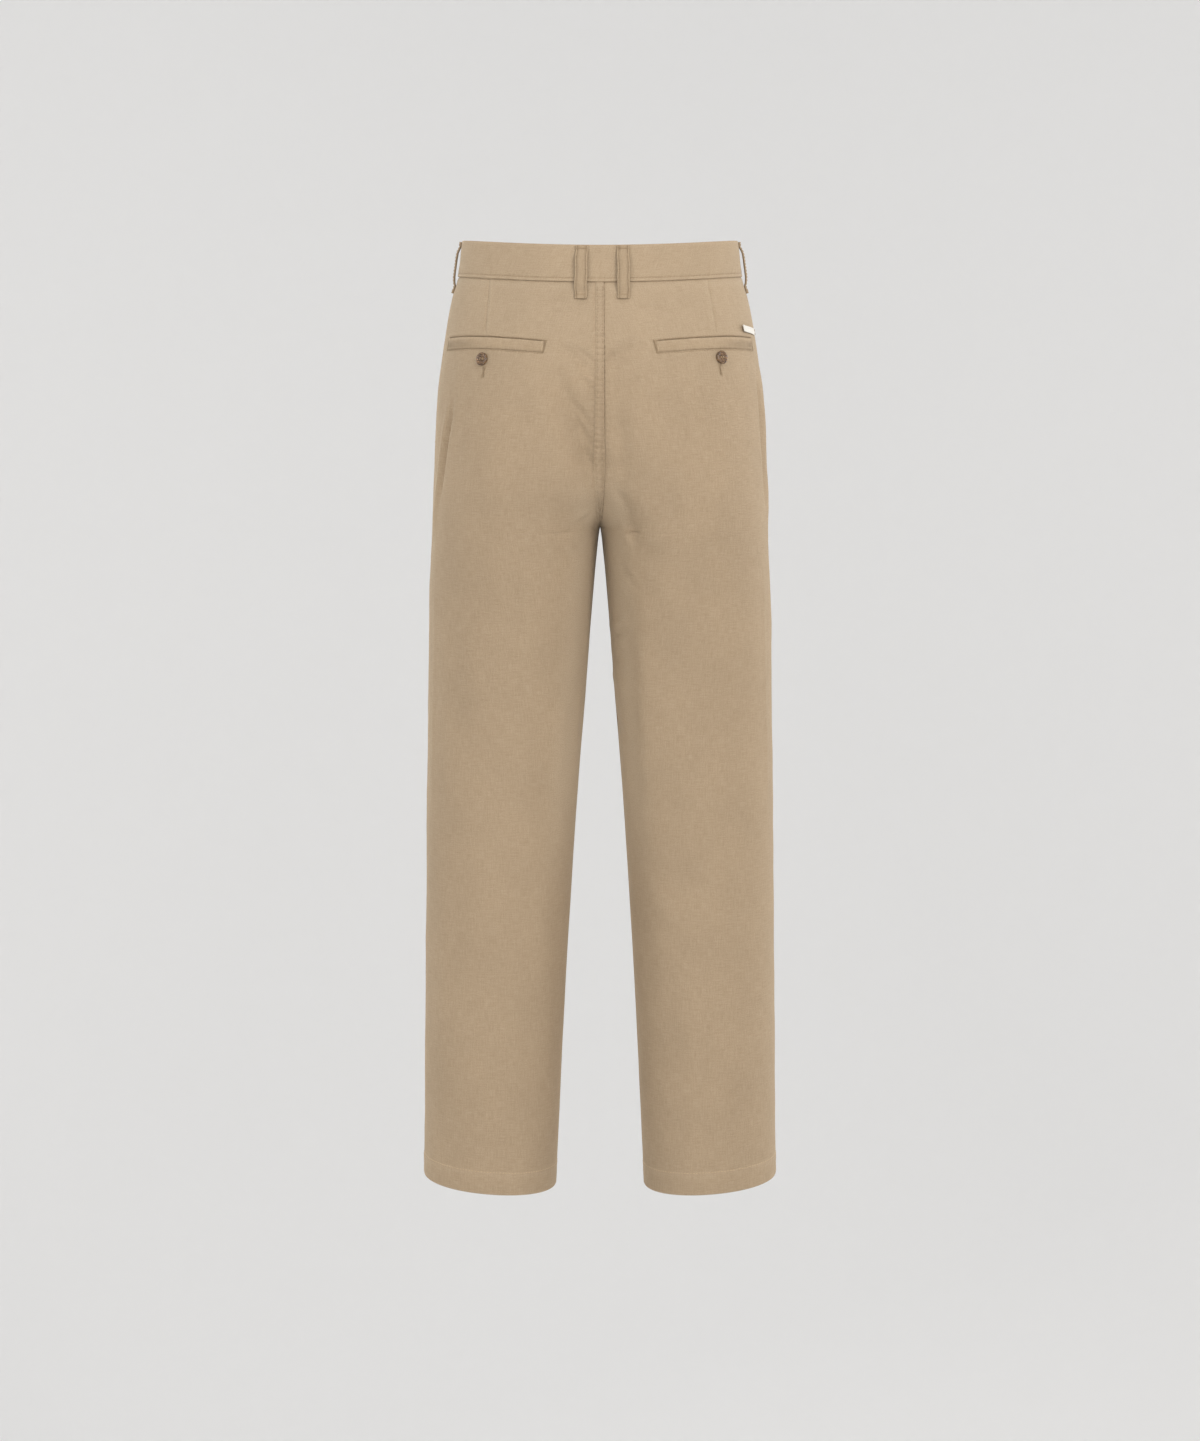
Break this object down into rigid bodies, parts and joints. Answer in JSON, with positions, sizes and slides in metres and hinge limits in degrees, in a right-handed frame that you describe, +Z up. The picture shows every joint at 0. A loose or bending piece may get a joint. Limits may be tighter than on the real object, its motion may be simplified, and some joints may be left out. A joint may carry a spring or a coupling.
{
  "type": "chino trousers",
  "caption": "Straight-cut chino trousers, filled out as worn and hollow, with slanted front pockets, buttoned welt back pockets, a zip fly and belt loops.",
  "frame": {"origin": "centre of the waist opening, level with the waistband's top edge at the sides, where the wearer holds the garment up", "axes": "+Z up towards the waist, -Y towards the wearer's front, +X towards the wearer's left"},
  "size_m": [0.4066, 0.2675, 1.0776],
  "materials": {
    "twill": "matte woven cotton twill, washed",
    "pocketing": "plain woven cotton pocketing",
    "button": "polished, horn-like, turned with a raised rim",
    "zip": "antique brass teeth and slider",
    "label": "woven satin tab, blank"
  },
  "bodies": {
    "root": {"back_left": "twill", "front_left": "twill", "hip_facing_left": "twill", "back_welt_left": "twill", "front_pocket_bag_left": "pocketing", "back_pocket_bag_left": "pocketing", "back_button_left": "button", "belt_loop_back_left": "twill", "belt_loop_side_left": "twill", "belt_loop_front_left": "twill", "back_right": "twill", "front_right": "twill", "hip_facing_right": "twill", "back_welt_right": "twill", "front_pocket_bag_right": "pocketing", "back_pocket_bag_right": "pocketing", "back_button_right": "button", "belt_loop_back_right": "twill", "belt_loop_side_right": "twill", "belt_loop_front_right": "twill", "waistband": "twill", "fly_facing": "twill", "fly_shield": "twill", "fly_zip": "zip", "fly_slider": "zip", "fly_pull_tab": "zip", "waist_button": "button", "side_label": "label"}
  },
  "joints": []
}
